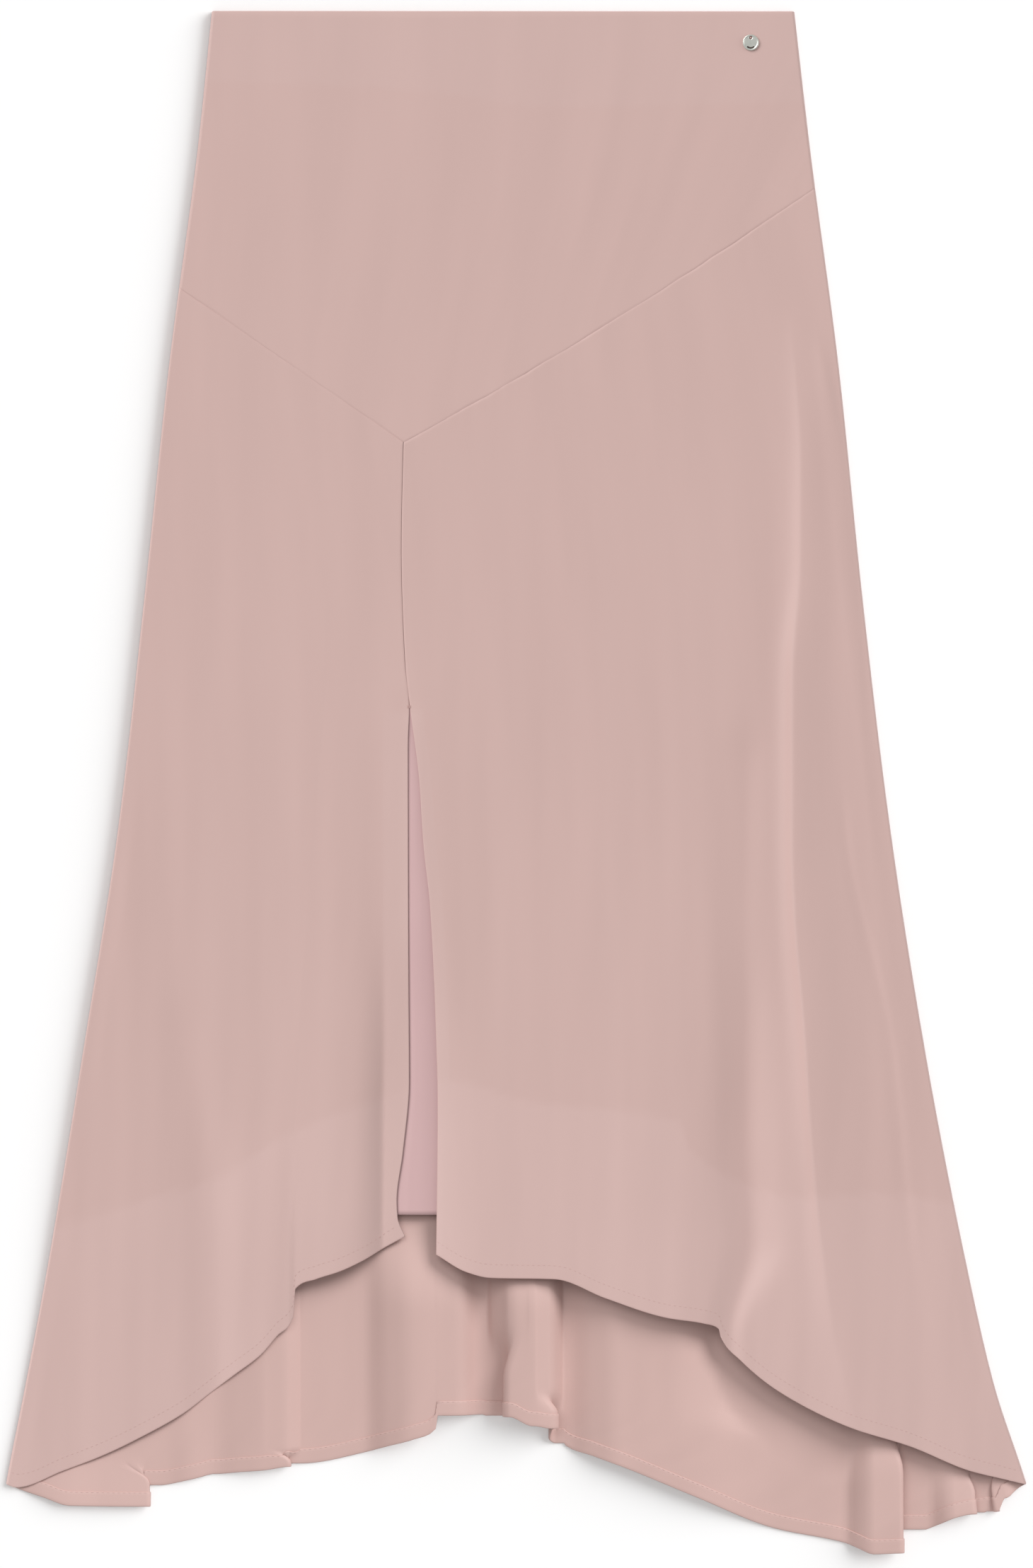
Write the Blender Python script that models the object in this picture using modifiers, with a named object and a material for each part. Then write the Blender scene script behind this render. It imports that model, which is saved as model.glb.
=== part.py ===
"""A bias-cut midi skirt with a high-low hem and a front slit, laid flat on a surface.

Sizes are in millimetres. Across is x, and a drop is how far below the waist edge a place lies, so a
drop of 0 is the waist and the lowest hem is at LENGTH. The skirt lies on its back panel: +Z is up,
+Y is towards the waist, and the origin is under the middle of the skirt, on the surface.
"""

from collections import namedtuple

import bmesh
import bpy
import numpy as np

MM = 0.001

# Driving sizes
LENGTH = 905.0  # waist edge to the lowest point of the back hem
CLOTH_WALL = 1.0
LINING_WALL = 1.0
SEAM_GAP = 0.3
SLANT = 1.3  # a gap along the drop, over the gap across the slanting seam
BACK_HEIGHT = CLOTH_WALL / 2  # middle of the back's wall where it rests on the surface
SEAM_HEIGHT = 1.6  # middle of the front's wall at the side seams
SIDE_ROLL = 9.0  # width over which the front rolls down to the side seams
CROWN_WIDTH = 75.0  # width over which the front rises from the sides to its full height
SIDE_REACH = 50.0  # how far in from a side the columns lean with it, near the hem
SIDE_EASE = 2.5  # and how much further for each millimetre that the side has moved in
SIDE_STEPS = (1.3, 4.2)  # columns this far in from a side follow its roll
SOFT_START = 40.0  # length in which a soft fold of the front begins
RISE = 90.0  # length in which a hem fold grows to its full height
TURN_AFTER = 45.0  # how far below a fold's start its edge begins to turn under
TURN_LENGTH = 60.0  # length in which it then turns under

# Outline of the laid skirt, a row for each level
Level = namedtuple("Level", "drop left right")
OUTLINE = (
    Level(0, -178.5, 162.7),
    Level(76, -186.3, 171.4),
    Level(209, -203.8, 188.8),
    Level(342, -217.9, 202.5),
    Level(474, -232.8, 218.3),
    Level(607, -253.6, 239.0),
    Level(740, -275.6, 264.8),
    Level(806, -288.0, 280.1),
    Level(863, -299.2, 298.8),
    Level(LENGTH + 5, -307.0, 312.0),
)

# How full the front lies over the back: the height of its rolled sides and of its middle
Fullness = namedtuple("Fullness", "drop side middle")
FULLNESS = (
    Fullness(0, 2.0, 0.0),
    Fullness(250, 2.8, 1.0),
    Fullness(450, 3.6, 2.6),
    Fullness(600, 4.6, 5.4),
    Fullness(700, 5.4, 7.2),
    Fullness(780, 6.0, 8.2),
    Fullness(865, 6.0, 9.0),
)

# The slanting seam under the yoke: down to its point, then up to the right
SeamEnd = namedtuple("SeamEnd", "x drop")
YOKE_LEFT = SeamEnd(-196.7, 162.7)
YOKE_POINT = SeamEnd(-66.1, 252.5)
YOKE_RIGHT = SeamEnd(174.3, 103.8)
YOKE_BOW = 4.5  # the long side of the seam bows down by this

# Edges of the two lower front panels along the centre seam and the slit below it
Edge = namedtuple("Edge", "drop x")
SLIT_TOP = 408.0
LEFT_FRONT_EDGE = (
    Edge(240, -66.1),
    Edge(315, -67.6),
    Edge(380, -65.5),
    Edge(SLIT_TOP, -62.9),
    Edge(430, -63.6),
    Edge(574, -63.2),
    Edge(627, -62.9),
    Edge(668, -66.5),
    Edge(697, -70.2),
    Edge(707, -69.6),
    Edge(718, -65.2),
)
RIGHT_FRONT_EDGE = (
    Edge(240, -65.8),
    Edge(315, -67.3),
    Edge(380, -65.2),
    Edge(SLIT_TOP, -62.3),
    Edge(450, -57.0),
    Edge(489, -54.4),
    Edge(524, -50.6),
    Edge(602, -47.0),
    Edge(640, -46.1),
    Edge(728, -46.9),
)

# Hem of the left front, from the side seam to the slit: the stretch before its fold and the one after
Hem = namedtuple("Hem", "x drop")
LEFT_HEM_OUTER = (
    Hem(-299.2, 863.0),
    Hem(-293.0, 864.9),
    Hem(-266.4, 855.3),
    Hem(-243.6, 846.6),
    Hem(-216.2, 833.3),
    Hem(-195.1, 821.3),
)
LEFT_HEM_INNER = (
    Hem(-117.4, 742.4),
    Hem(-103.8, 737.9),
    Hem(-90.1, 731.6),
    Hem(-75.9, 723.3),
    Hem(-65.2, 717.5),
)
RIGHT_HEM = (
    Hem(-46.9, 727.9),
    Hem(-29.1, 737.9),
    Hem(-15.4, 741.2),
    Hem(22.4, 742.0),
    Hem(52.3, 753.2),
    Hem(87.2, 764.4),
    Hem(110.4, 768.2),
    Hem(118.7, 771.5),
    Hem(119.8, 776.1),
    Hem(131.6, 790.2),
    Hem(153.6, 808.0),
    Hem(193.4, 828.3),
    Hem(229.9, 840.0),
    Hem(266.4, 854.9),
    Hem(284.7, 859.5),
    Hem(298.8, 863.0),
)

# Folds that stand up at a hem, from left to right. A fold rises from its foot to its crest and ends at
# its edge. Where lap or tuck isn't 0, the cloth turns under the fold that far at its foot or its edge.
# hem_foot, hem_crest, hem_edge and hem_under are the hem's drops there and where it comes out again.
Fold = namedtuple("Fold", "foot crest edge height lap tuck hem_foot hem_crest hem_edge hem_under start")
LEFT_FRONT_FOLD = Fold(-179.7, -150.0, -131.0, 6.5, 0, 6.0, 809.7, 787.0, 761.0, 747.5, 640)
BACK_FOLDS = (
    Fold(-277.0, -245.0, -215.2, 10.0, 0, 8.0, 870.0, 877.0, 876.0, 864.5, 720),
    Fold(-203.0, -187.0, -167.0, 4.0, 0, 0, 862.5, 859.5, 855.3, 855.3, 690),
    Fold(-159.0, -142.0, -132.8, 7.0, 0, 3.0, 854.6, 854.6, 852.6, 850.8, 650),
    Fold(-74.0, -57.0, -46.5, 9.0, 0, 6.5, 840.9, 835.0, 829.5, 822.3, 590),
    Fold(-7.5, 8.0, 24.0, 11.0, 4.5, 6.5, 824.0, 828.0, 828.5, 839.5, 610),
    Fold(40.0, 82.0, 150.0, 6.0, 0, 0, 843.5, 861.5, 888.5, 888.5, 640),
    Fold(202.0, 215.0, 226.5, 11.0, 0, 7.5, 900.0, 905.0, 903.0, 892.5, 725),
    Fold(250.0, 259.0, 268.5, 7.5, 0, 3.5, 885.0, 882.0, 880.3, 879.6, 740),
)
# Last fold of the back, a turned corner beside the right side seam
BACK_CORNER = Fold(278.0, 286.0, 294.5, 5.0, 3.5, 0, 879.0, 871.0, 865.0, 865.0, 750)

# A turned edge, from the top of the fold to where the cloth comes out under it: the share of the
# fold's height at each point. The rounds reach in by EDGE_ROUND times that height.
Turn = namedtuple("Turn", "brow side over under inner out")
TURN = Turn(0.95, 0.73, 0.51, 0.45, 0.23, 0.01)
EDGE_ROUND = 0.26

# Soft folds of the front, each a ridge (or, with a height below 0, a trough) down its own path
Place = namedtuple("Place", "drop x height left right")
SOFT_FOLDS = {
    "side_ridge": (
        Place(185, 160, 0.0, 14, 6),
        Place(297, 166.8, 2.0, 18, 6),
        Place(386, 160.2, 3.5, 22, 7),
        Place(491, 158.5, 5.0, 24, 8),
        Place(569, 163.1, 5.5, 26, 9),
        Place(643, 168.9, 5.5, 28, 10),
        Place(720, 175.5, 5.0, 32, 14),
        Place(830, 195.0, 4.0, 36, 20),
    ),
    "side_roll": (
        Place(190, 175, 0.0, 8, 10),
        Place(300, 187, 2.0, 10, 12),
        Place(491, 196, 2.6, 14, 14),
        Place(607, 207, 2.4, 16, 16),
        Place(740, 230, 1.5, 18, 18),
        Place(860, 262, 0.5, 20, 20),
    ),
    "right_valley": (
        Place(455, 137.0, 0.0, 16, 10),
        Place(532, 125.7, -1.5, 16, 9),
        Place(615, 127.4, -2.5, 15, 8),
        Place(670, 126.5, -4.0, 15, 8),
        Place(774, 117.5, -6.5, 14, 6),
    ),
    "slit_right_hollow": (
        Place(300, -58.0, 0.0, 14, 14),
        Place(400, -37.0, -1.0, 14, 16),
        Place(560, -28.0, -1.6, 14, 18),
        Place(660, -24.0, -1.2, 14, 18),
        Place(745, -20.0, 0.0, 14, 18),
    ),
    "slit_left_groove": (
        Place(500, -76.0, 0.0, 8, 5),
        Place(570, -78.0, -1.2, 9, 5),
        Place(640, -81.0, -2.4, 10, 6),
        Place(685, -83.0, -3.2, 10, 6),
        Place(735, -85.0, -2.0, 10, 7),
    ),
    "left_hollow": (
        Place(500, -211.0, 0.0, 14, 12),
        Place(593, -200.0, -1.2, 14, 12),
        Place(694, -180.0, -2.2, 14, 12),
        Place(779, -170.0, -2.5, 14, 12),
        Place(830, -168.0, -2.0, 14, 12),
    ),
}

# The stretch of lining that shows in the slit
LINING_TOP = 398.0
LINING_HEM = 705.0
LINING_MARGIN = 14.0  # how far it runs on under each front panel
LINING_DEPTH = 2.1  # middle of its wall below the middle of the front's

# The metal plate by the waist
PLAQUE_X = 137.3
PLAQUE_DROP = 18.2
PLAQUE_RADIUS = 4.7
PLAQUE_THICKNESS = 1.2
PLAQUE_HOLE_RADIUS = 0.6
PLAQUE_HOLE_OUT = 2.9  # from the plate's middle towards the waist

# Spacing of the points that the solids are made of
HEM_SPACING = 13.0
FINE_SPACING = 3.0
BACK_ROWS = 15
FRONT_ROWS = 17
BACK_CROWDING = 1.7  # how much closer rows lie towards the hem, where 1 is evenly
FRONT_CROWDING = 1.3

BLUSH = (0.640, 0.450, 0.420, 1.0)
LINING_PINK = (0.680, 0.440, 0.440, 1.0)
STEEL = (0.62, 0.62, 0.61, 1.0)


# Curves
def smooth(t):
    """0 below 0, 1 above 1, and an S curve between them."""
    t = np.clip(t, 0.0, 1.0)
    return t * t * (3.0 - 2.0 * t)


def mix(a, b, share):
    return a + (b - a) * share


def curve(knots, values, at):
    """A smooth curve through the values at the knots that never swings past them."""
    knots, values = np.asarray(knots, float), np.asarray(values, float)
    step = np.diff(knots)
    slope = np.diff(values) / step
    tangent = np.zeros_like(values)
    tangent[0], tangent[-1] = slope[0], slope[-1]
    before, after = slope[:-1], slope[1:]
    weight_before = 2 * step[1:] + step[:-1]
    weight_after = step[1:] + 2 * step[:-1]
    same_way = before * after > 0
    safe_before = np.where(same_way, before, 1.0)
    safe_after = np.where(same_way, after, 1.0)
    mean = (weight_before + weight_after) / (weight_before / safe_before + weight_after / safe_after)
    tangent[1:-1] = np.where(same_way, mean, 0.0)
    at = np.clip(at, knots[0], knots[-1])
    i = np.clip(np.searchsorted(knots, at, side="right") - 1, 0, len(step) - 1)
    t = (at - knots[i]) / step[i]
    rest = 1.0 - t
    return (
        values[i] * (1 + 2 * t) * rest**2
        + tangent[i] * step[i] * t * rest**2
        + values[i + 1] * t**2 * (3 - 2 * t)
        - tangent[i + 1] * step[i] * t**2 * rest
    )


def column(rows, name):
    return [getattr(row, name) for row in rows]


def read(rows, name, drop):
    """A named column of a table at this drop."""
    return curve(column(rows, "drop"), column(rows, name), drop)


def left_side(drop):
    return read(OUTLINE, "left", drop)


def right_side(drop):
    return read(OUTLINE, "right", drop)


def yoke_seam(x):
    """Drop of the seam under the yoke."""
    left = (x - YOKE_LEFT.x) / (YOKE_POINT.x - YOKE_LEFT.x)
    right = (x - YOKE_POINT.x) / (YOKE_RIGHT.x - YOKE_POINT.x)
    bow = YOKE_BOW * 4 * np.clip(right, 0, 1) * (1 - np.clip(right, 0, 1))
    down = mix(YOKE_LEFT.drop, YOKE_POINT.drop, left)
    up = mix(YOKE_POINT.drop, YOKE_RIGHT.drop, right) + bow
    return np.where(x < YOKE_POINT.x, down, up)


# Height of the front over the surface
def soft_fold(places, x, drop):
    """A ridge or trough down its path, with its own width on each side."""
    aside = x - read(places, "x", drop)
    left = read(places, "left", drop)
    right = read(places, "right", drop)
    width = np.where(aside < 0, left, right)
    ends = smooth((drop - places[0].drop) / SOFT_START)
    return ends * read(places, "height", drop) * np.exp(-((aside / width) ** 2))


def front_height(x, drop):
    """Middle of the front's wall at this place."""
    inside = np.maximum(np.minimum(x - left_side(drop), right_side(drop) - x), 0.0)
    roll = np.sqrt(1 - (1 - np.clip(inside / SIDE_ROLL, 0, 1)) ** 2)
    height = SEAM_HEIGHT + read(FULLNESS, "side", drop) * roll
    height = height + read(FULLNESS, "middle", drop) * smooth(inside / CROWN_WIDTH)
    clear_of_side = smooth(inside / (2 * SIDE_ROLL))
    for places in SOFT_FOLDS.values():
        height = height + clear_of_side * soft_fold(places, x, drop)
    return height


def back_height(x, drop):
    return np.full(np.broadcast(x, drop).shape, BACK_HEIGHT)


# Hem sections: what a hem does from one side of a panel to the other. A post is a column's place at the
# hem: flat is where the column would lie if the fold weren't turned under.
Post = namedtuple("Post", "x flat lift drop start")
TURNED = float("nan")


def turned_edge(edge, inward, fold, hem_here, hem_hidden):
    """Posts of an edge turned under, from the top of the fold down to the layer below.

    inward is the way from the edge back under the fold times the length that is turned under.
    """
    round_in = np.sign(inward) * EDGE_ROUND * fold.height
    places = [(edge + round_in, TURN.brow, hem_here), (edge, TURN.side, hem_here)]
    if abs(inward) > 2.2 * abs(round_in):
        places.append((edge + round_in, TURN.over, hem_here))
        places.append((edge + inward - round_in, TURN.under, mix(hem_here, hem_hidden, 0.5)))
    else:
        places.append((edge + inward / 2, mix(TURN.over, TURN.under, 0.5), hem_here))
    places.append((edge + inward, TURN.inner, mix(hem_here, hem_hidden, 0.7)))
    places.append((edge + inward - round_in, TURN.out, hem_hidden))
    return [Post(x, TURNED, share * fold.height, drop, fold.start) for x, share, drop in places]


def fold_posts(fold):
    """Posts of one fold from foot to edge, turned under where it has a lap or a tuck."""
    posts = []

    def post(x, share, drop):
        posts.append(Post(x, x, share * fold.height, drop, fold.start))

    if fold.lap:
        post(fold.foot - 1.0, 0.0, fold.hem_foot)
        posts += reversed(turned_edge(fold.foot, fold.lap, fold, fold.hem_foot, fold.hem_foot))
    else:
        post(fold.foot, 0.0, fold.hem_foot)
        post(mix(fold.foot, fold.crest, 0.5), 0.6, mix(fold.hem_foot, fold.hem_crest, 0.5))
    post(fold.crest, 1.0, fold.hem_crest)
    if fold.tuck:
        posts += turned_edge(fold.edge, -fold.tuck, fold, fold.hem_edge, fold.hem_under)
        post(fold.edge + 1.0, 0.0, fold.hem_under)
    else:
        post(mix(fold.crest, fold.edge, 0.5), 0.5, mix(fold.hem_crest, fold.hem_edge, 0.5))
        post(fold.edge, 0.0, fold.hem_edge)
    return posts


def flat_posts(hem, start):
    return [Post(place.x, place.x, 0.0, place.drop, start) for place in hem]


def section(posts, rolled):
    """Columns along the posts: closer together where the cloth turns, so that a fold stays round."""
    table = {name: np.array([getattr(post, name) for post in posts], float) for name in Post._fields}
    steps = np.hypot(np.diff(table["x"]), np.diff(table["lift"]))
    run = np.concatenate([[0.0], np.cumsum(steps)])
    plain = ~np.isnan(table["flat"])
    table["flat"] = np.interp(run, run[plain], table["flat"][plain])
    at = [0.0]
    for i, length in enumerate(steps):
        spacing = FINE_SPACING if not (plain[i] and plain[i + 1]) else HEM_SPACING
        count = max(1, round(length / spacing))
        at.extend(run[i] + length * (k + 1) / count for k in range(count))
    if "left" in rolled:
        at.extend(SIDE_STEPS)
    if "right" in rolled:
        at.extend(run[-1] - step for step in SIDE_STEPS)
    at = np.array(sorted(at))
    return Post(*(curve(run, table[name], at) for name in Post._fields)), at


def panel(posts, rolled, left, right, top, height, rows=FRONT_ROWS, crowding=FRONT_CROWDING):
    """Points of a panel as rows from its top edge to its hem.

    rolled names its side seams. left and right give its side edges at a drop, top the drop of its upper
    edge at x, and height the middle of its wall. The columns share the panel's width evenly at the top.
    """
    hem, run = section(posts, rolled)
    share = run / run[-1]
    top_drop = np.full_like(share, YOKE_POINT.drop)
    for _ in range(12):
        top_drop = top(mix(left(top_drop), right(top_drop), share))
    down = 1 - np.linspace(1, 0, rows)[:, None] ** crowding
    drop = mix(top_drop, hem.drop, down)
    even = mix(left(drop), right(drop), share)
    hanging = hem.flat
    for side_shift, inside in (
        (left(drop) - hem.x[0], hem.flat - hem.x[0]),
        (right(drop) - hem.x[-1], hem.x[-1] - hem.flat),
    ):
        reach = SIDE_REACH + SIDE_EASE * np.abs(side_shift)
        hanging = hanging + side_shift * (1 - np.clip(inside / reach, 0, 1)) ** 2
    x = mix(even, hanging, smooth(down))
    x = x + (hem.x - hem.flat) * smooth((drop - hem.start - TURN_AFTER) / TURN_LENGTH)
    z = height(x, drop) + hem.lift * smooth((drop - hem.start) / RISE)
    return np.stack([x, LENGTH / 2 - drop, z], axis=-1)


def yoke_points():
    share = np.linspace(0, 1, 34)
    near_side = np.array(SIDE_STEPS) / (right_side(0.0) - left_side(0.0))
    share = np.sort(np.concatenate([share, near_side, 1 - near_side]))
    hem_drop = np.full_like(share, YOKE_POINT.drop)
    for _ in range(12):
        hem_drop = yoke_seam(mix(left_side(hem_drop), right_side(hem_drop), share))
    share, hem_drop = with_seam_point(share, hem_drop)
    drop = mix(0.0, hem_drop, np.linspace(0, 1, 9)[:, None])
    x = mix(left_side(drop), right_side(drop), share)
    return np.stack([x, LENGTH / 2 - drop, front_height(x, drop)], axis=-1)


def with_seam_point(share, hem_drop):
    """The column nearest to the seam's point moves onto it."""
    left, right = left_side(YOKE_POINT.drop), right_side(YOKE_POINT.drop)
    at = (YOKE_POINT.x - left) / (right - left)
    nearest = np.argmin(np.abs(share - at))
    share[nearest] = at
    hem_drop[nearest] = YOKE_POINT.drop
    return share, hem_drop


def lining_points():
    drop = np.linspace(LINING_TOP, LINING_HEM, 13)[:, None]
    left = read(LEFT_FRONT_EDGE, "x", drop) - LINING_MARGIN
    right = read(RIGHT_FRONT_EDGE, "x", drop) + LINING_MARGIN
    x = mix(left, right, np.linspace(0, 1, 9))
    drop = np.broadcast_to(drop, x.shape)
    return np.stack([x, LENGTH / 2 - drop, front_height(x, drop) - LINING_DEPTH], axis=-1)


def left_front_points():
    posts = flat_posts(LEFT_HEM_OUTER, LEFT_FRONT_FOLD.start)
    posts += fold_posts(LEFT_FRONT_FOLD)
    posts += flat_posts(LEFT_HEM_INNER, LEFT_FRONT_FOLD.start - 60)
    return panel(
        posts,
        ("left",),
        left_side,
        lambda drop: read(LEFT_FRONT_EDGE, "x", drop),
        lambda x: yoke_seam(x) + SEAM_GAP * SLANT,
        front_height,
    )


def right_front_points():
    return panel(
        flat_posts(RIGHT_HEM, 520),
        ("right",),
        lambda drop: read(RIGHT_FRONT_EDGE, "x", drop),
        right_side,
        lambda x: yoke_seam(x) + SEAM_GAP * SLANT,
        front_height,
    )


def back_points():
    posts = flat_posts(LEFT_HEM_OUTER[:1], BACK_FOLDS[0].start)
    for fold in BACK_FOLDS:
        posts += fold_posts(fold)
    posts += fold_posts(BACK_CORNER) + flat_posts(RIGHT_HEM[-1:], BACK_CORNER.start)
    waist = np.zeros_like
    return panel(posts, (), left_side, right_side, waist, back_height, BACK_ROWS, BACK_CROWDING)


# Objects
def material(name, colour, roughness, metallic=0.0):
    made = bpy.data.materials.new(name)
    made.use_nodes = True
    shader = made.node_tree.nodes["Principled BSDF"]
    shader.inputs["Base Color"].default_value = colour
    shader.inputs["Roughness"].default_value = roughness
    shader.inputs["Metallic"].default_value = metallic
    return made


def add_object(name, mesh, finish, collection):
    mesh.materials.append(finish)
    mesh.shade_smooth()
    made = bpy.data.objects.new(name, mesh)
    collection.objects.link(made)
    return made


def cloth(name, points, wall, finish, collection):
    """A wall of cloth: a grid laid through the points and given its thickness."""
    rows, columns = points.shape[:2]
    grid = bmesh.new()
    bmesh.ops.create_grid(grid, x_segments=columns - 1, y_segments=rows - 1, size=1.0)
    for vertex in grid.verts:
        across = round((vertex.co.x + 1) / 2 * (columns - 1))
        up = round((vertex.co.y + 1) / 2 * (rows - 1))
        vertex.co = points[rows - 1 - up, across] * MM
    mesh = bpy.data.meshes.new(name)
    grid.to_mesh(mesh)
    grid.free()
    made = add_object(name, mesh, finish, collection)
    thickness = made.modifiers.new("thickness", "SOLIDIFY")
    thickness.thickness = wall * MM
    thickness.offset = 0.0
    made.modifiers.new("shading", "WEIGHTED_NORMAL")
    return made


def plaque(collection, cutters):
    """A domed round plate with a sewing hole near its upper edge."""
    profile = (
        (0.0, PLAQUE_THICKNESS),
        (PLAQUE_RADIUS * 0.75, PLAQUE_THICKNESS * 0.92),
        (PLAQUE_RADIUS * 0.93, PLAQUE_THICKNESS * 0.75),
        (PLAQUE_RADIUS, PLAQUE_THICKNESS * 0.4),
        (PLAQUE_RADIUS * 0.95, 0.0),
        (0.0, 0.0),
    )
    turned = bpy.data.meshes.new("plaque")
    points = [(x * MM, 0.0, z * MM) for x, z in profile]
    turned.from_pydata(points, [(i, i + 1) for i in range(len(points) - 1)], [])
    made = add_object("plaque", turned, material("plaque_metal", STEEL, 0.28, 1.0), collection)
    spin = made.modifiers.new("turn", "SCREW")
    spin.angle = np.radians(360)
    spin.steps = spin.render_steps = 28
    spin.use_merge_vertices = True
    spin.merge_threshold = 0.00001
    spin.use_normal_calculate = True

    seat = front_height(np.array(PLAQUE_X), np.array(PLAQUE_DROP)) + CLOTH_WALL / 2 + SEAM_GAP
    place = (PLAQUE_X * MM, (LENGTH / 2 - PLAQUE_DROP) * MM, float(seat) * MM)
    made.location = place

    drill = bmesh.new()
    bmesh.ops.create_cone(
        drill,
        cap_ends=True,
        segments=14,
        radius1=PLAQUE_HOLE_RADIUS * MM,
        radius2=PLAQUE_HOLE_RADIUS * MM,
        depth=4 * PLAQUE_THICKNESS * MM,
    )
    drill_mesh = bpy.data.meshes.new("plaque_drill")
    drill.to_mesh(drill_mesh)
    drill.free()
    cutter = bpy.data.objects.new("plaque_drill", drill_mesh)
    cutter.location = (place[0], place[1] + PLAQUE_HOLE_OUT * MM, place[2])
    cutter.hide_render = True
    cutter.display_type = "WIRE"
    cutters.objects.link(cutter)
    hole = made.modifiers.new("sewing_hole", "BOOLEAN")
    hole.object = cutter
    hole.operation = "DIFFERENCE"
    return made


def clear_scene():
    for old in list(bpy.data.objects):
        bpy.data.objects.remove(old, do_unlink=True)


def new_collection(name):
    made = bpy.data.collections.new(name)
    bpy.context.scene.collection.children.link(made)
    return made


def main():
    clear_scene()
    skirt = new_collection("midi_skirt")
    cutters = new_collection("cutters")
    panels = (
        ("back_panel", back_points(), CLOTH_WALL, BLUSH),
        ("front_yoke", yoke_points(), CLOTH_WALL, BLUSH),
        ("front_left", left_front_points(), CLOTH_WALL, BLUSH),
        ("front_right", right_front_points(), CLOTH_WALL, BLUSH),
        ("lining", lining_points(), LINING_WALL, LINING_PINK),
    )
    for name, points, wall, colour in panels:
        cloth(name, points, wall, material(name + "_cloth", colour, 0.6), skirt)
    plaque(skirt, cutters)


main()
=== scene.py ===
"""Looks of a bias-cut midi skirt in blush crepe satin, laid flat.

Sizes are in millimetres. Across is x, and a drop is how far below the waist edge a place lies, so the
lowest hem is at LENGTH. The panels are single cloths on the forms of the solids: their hems and waist
edges are turned in, and their folds lie where the solids have them.
"""

from collections import namedtuple

import bmesh
import bpy
import numpy as np
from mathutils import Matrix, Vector


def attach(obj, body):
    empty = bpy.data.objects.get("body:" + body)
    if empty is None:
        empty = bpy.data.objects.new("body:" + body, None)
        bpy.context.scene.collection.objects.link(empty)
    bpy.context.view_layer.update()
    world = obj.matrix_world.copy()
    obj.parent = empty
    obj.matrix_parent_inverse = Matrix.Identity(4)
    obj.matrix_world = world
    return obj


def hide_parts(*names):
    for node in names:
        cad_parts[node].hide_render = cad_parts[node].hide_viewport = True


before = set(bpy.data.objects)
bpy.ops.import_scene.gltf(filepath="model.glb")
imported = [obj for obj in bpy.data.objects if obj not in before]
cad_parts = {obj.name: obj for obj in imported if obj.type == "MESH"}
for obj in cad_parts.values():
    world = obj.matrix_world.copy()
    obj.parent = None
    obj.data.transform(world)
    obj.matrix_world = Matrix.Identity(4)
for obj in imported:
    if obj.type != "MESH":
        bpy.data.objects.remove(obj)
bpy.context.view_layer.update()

MM = 0.001

# Driving sizes. A height is from the surface to the middle of the cloth.
LENGTH = 905.0
CLOTH_WALL = 0.5
LAYER = 0.6  # from the middle of one layer to the middle of the next where cloth is doubled
WAIST_DROP = 0.3  # the cloth starts this far below the waist edge
BACK_HEIGHT = 0.4
SEAM_HEIGHT = 1.6  # the front's, just inside the side seams
SEAM_OVERHANG = 0.5  # the front reaches this far past the back at the side seams
SIDE_ROLL = 0.9  # how far in from a side seam the front is rolled over
SIDE_CLEAR = 12.0  # soft folds and waves fade over this distance from the sides
CROWN_EASE = 90.0  # the crown of the middle falls away over this distance from the right side
SIDE_REACH = 50.0  # a hem's places follow the side's slant as far in as this
SIDE_EASE = 2.5  # and this much farther for each millimetre of slant
SOFT_START = 40.0  # length over which a soft fold of the front starts
RISE = 60.0  # length over which a fold at a hem rises
TURN_SHARE = 0.6  # share of the way from a fold's turn to the hem in which its edge turns under
TURN_LENGTHS = (8.0, 34.0)  # least and most length of that
OPEN_EDGE = 1.2  # width of the step in the hem at a fold's edge that isn't turned under
LAP_FLANK = 0.72  # how far before its edge a lapped fold starts to rise, a share of its height
LAP_RISE = ((0, 0.55, 1), (0, 0.93, 1))  # heights along its flank, above where its edge turns
TUCK_SHOULDER = 0.6  # a tucked fold has its shoulder at this share of the way from crest to rest
TUCK_LATER = 40.0  # how far below its lap a fold with both turns under at its edge

# Outline of the laid skirt, a row for each level
Level = namedtuple("Level", "drop left right")
OUTLINE = (
    Level(0, -178.5, 162.7),
    Level(76, -186.3, 171.4),
    Level(209, -203.8, 188.8),
    Level(342, -217.9, 202.5),
    Level(474, -232.8, 218.3),
    Level(607, -253.6, 239.0),
    Level(740, -275.6, 264.8),
    Level(806, -288.0, 280.1),
    Level(863, -299.2, 298.8),
    Level(LENGTH + 5, -307.0, 312.0),
)

# How full the front lies over the back: the height of its rolled sides and of its middle
Fullness = namedtuple("Fullness", "drop left right middle")
FULLNESS = (
    Fullness(0, 3.6, 1.4, 0.0),
    Fullness(250, 4.2, 2.0, 1.0),
    Fullness(450, 4.6, 2.8, 2.8),
    Fullness(600, 4.6, 3.4, 6.0),
    Fullness(700, 3.8, 3.8, 9.5),
    Fullness(780, 2.0, 3.8, 13.0),
    Fullness(865, 0.9, 3.2, 13.5),
)
# The middle's height is reached between these two places at each level
Crown = namedtuple("Crown", "drop left full")
CROWN = (
    Crown(0, -150.0, -40.0),
    Crown(450, -190.0, -60.0),
    Crown(700, -200.0, -50.0),
    Crown(780, -190.0, 0.0),
    Crown(865, -190.0, 10.0),
)

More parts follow.
